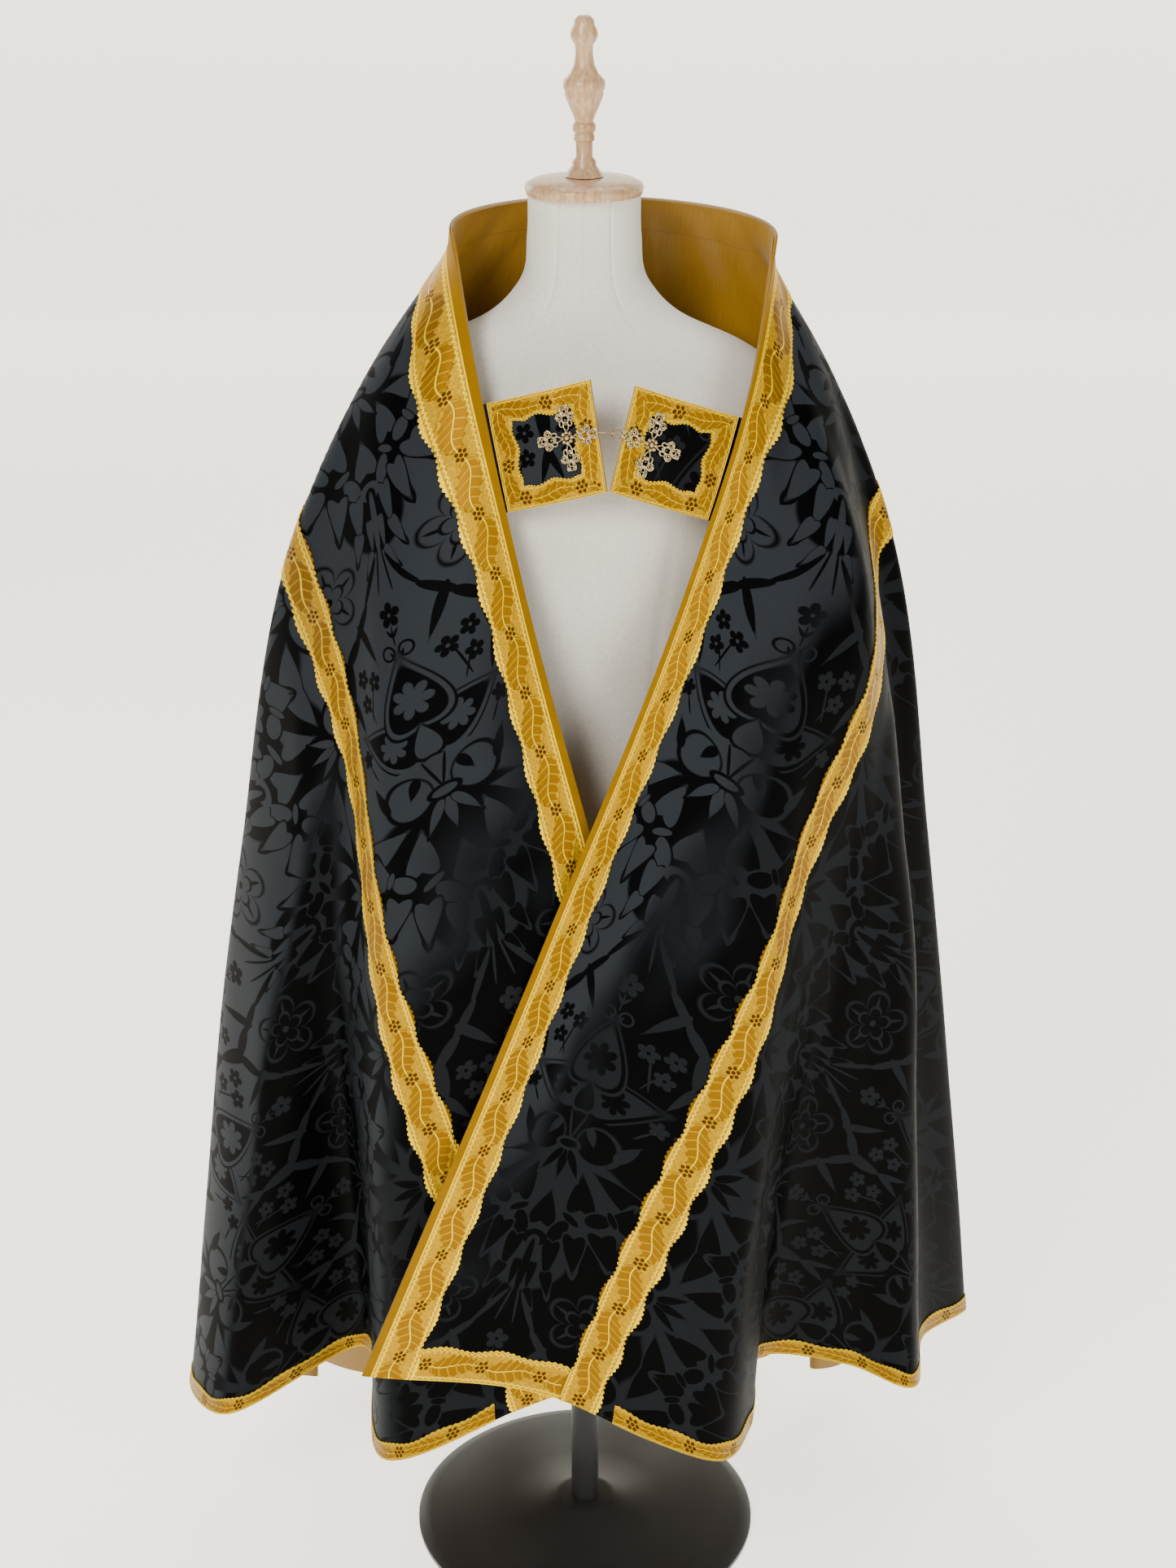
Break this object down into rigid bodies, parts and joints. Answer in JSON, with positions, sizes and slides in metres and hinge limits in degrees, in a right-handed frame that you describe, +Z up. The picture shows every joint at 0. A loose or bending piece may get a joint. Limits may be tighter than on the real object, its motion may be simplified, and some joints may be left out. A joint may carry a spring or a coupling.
{
  "type": "cope vestment on a dress form",
  "caption": "Black damask cope with gold galloon orphreys and a tabbed clasp, draped on a limbless dress form with a turned finial and a round foot.",
  "frame": {"origin": "on the floor, on the dress form's axis, at the middle of the foot's underside", "axes": "+Z up, the front looks towards -Y, the wearer's left is at +X"},
  "size_m": [0.9386, 0.6411, 1.745],
  "materials": {
    "damask": "satin",
    "galloon": "satin",
    "lining": "satin",
    "filigree": "satin",
    "beech": "satin",
    "cover": "matte",
    "iron": "satin"
  },
  "bodies": {
    "root": {"body_under_side": "damask", "body_back": "damask", "body_over_side": "damask", "orphrey_under": "damask", "orphrey_over": "damask", "clasp_tab_under": "damask", "clasp_tab_over": "damask", "hem_galloon_under_side": "galloon", "hem_galloon_back": "galloon", "hem_galloon_over_side": "galloon", "edge_galloon_under": "galloon", "edge_galloon_over": "galloon", "outer_galloon_under": "galloon", "outer_galloon_over": "galloon", "foot_galloon_under": "galloon", "foot_galloon_over": "galloon", "tab_galloon_under": "galloon", "tab_galloon_over": "galloon", "neck_lining": "lining", "filigree_cross_under": "filigree", "filigree_cross_over": "filigree", "clasp_link": "filigree", "clasp_hook": "filigree", "form_torso": "cover", "form_neck_cap": "beech", "form_finial": "beech", "form_foot": "iron", "form_pole": "iron"}
  },
  "joints": []
}
